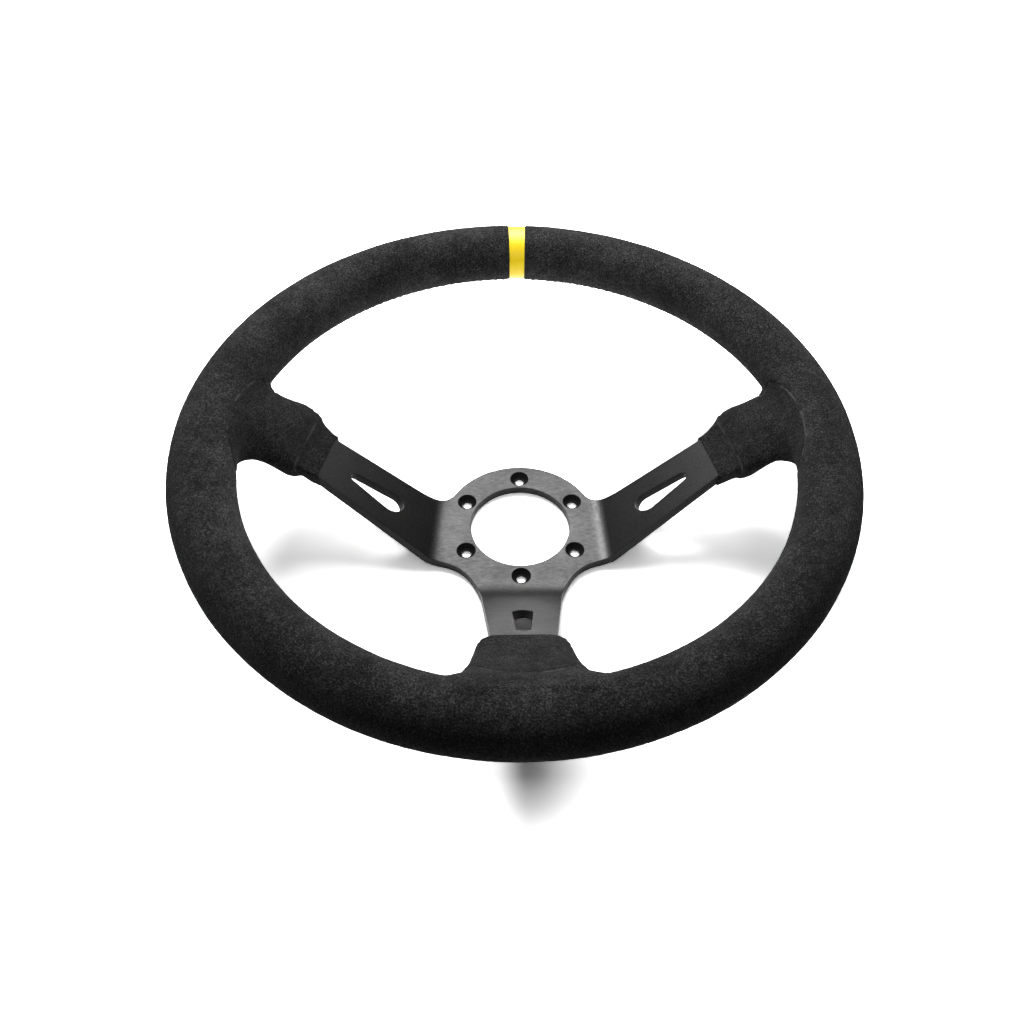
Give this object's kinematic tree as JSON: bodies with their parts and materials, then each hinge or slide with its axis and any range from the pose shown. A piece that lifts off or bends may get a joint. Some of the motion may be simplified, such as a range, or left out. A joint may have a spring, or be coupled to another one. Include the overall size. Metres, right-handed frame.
{
  "type": "dished steering wheel",
  "caption": "Deep-dish three-spoke motorsport steering wheel: bent black plate, suede-covered padded rim, yellow centre band and a bolt-on hub ring.",
  "frame": {"origin": "centre of the hub ring's flat back face, which bolts to the steering boss and is the lowest part of the wheel", "axes": "+Z along the steering axis from the boss towards the driver, +Y towards the yellow mark at twelve o'clock, +X to the driver's right"},
  "size_m": [0.35, 0.3497, 0.09],
  "materials": {
    "plate": "black anodised, fine brushed grain, satin",
    "core": "mill finish",
    "rivets": "plain",
    "foam": "moulded integral-skin polyurethane foam, matt",
    "suede": "black suede with a short brushed nap",
    "marker": "smooth yellow synthetic leather, low sheen",
    "thread": "waxed black sewing thread"
  },
  "bodies": {
    "root": {"spoke_plate": "plate", "rim_core": "core", "right_rivet_1": "rivets", "right_rivet_2": "rivets", "left_rivet_1": "rivets", "left_rivet_2": "rivets", "bottom_rivet_1": "rivets", "bottom_rivet_2": "rivets", "rim_foam": "foam", "rim_cover": "suede", "centre_marker": "marker", "right_spoke_boot": "suede", "left_spoke_boot": "suede", "bottom_spoke_boot": "suede", "right_boot_thread": "thread", "left_boot_thread": "thread", "bottom_boot_thread": "thread", "rim_thread_upper_right": "thread", "rim_thread_upper_left": "thread", "rim_thread_lower_left": "thread", "rim_thread_lower_right": "thread"}
  },
  "joints": []
}
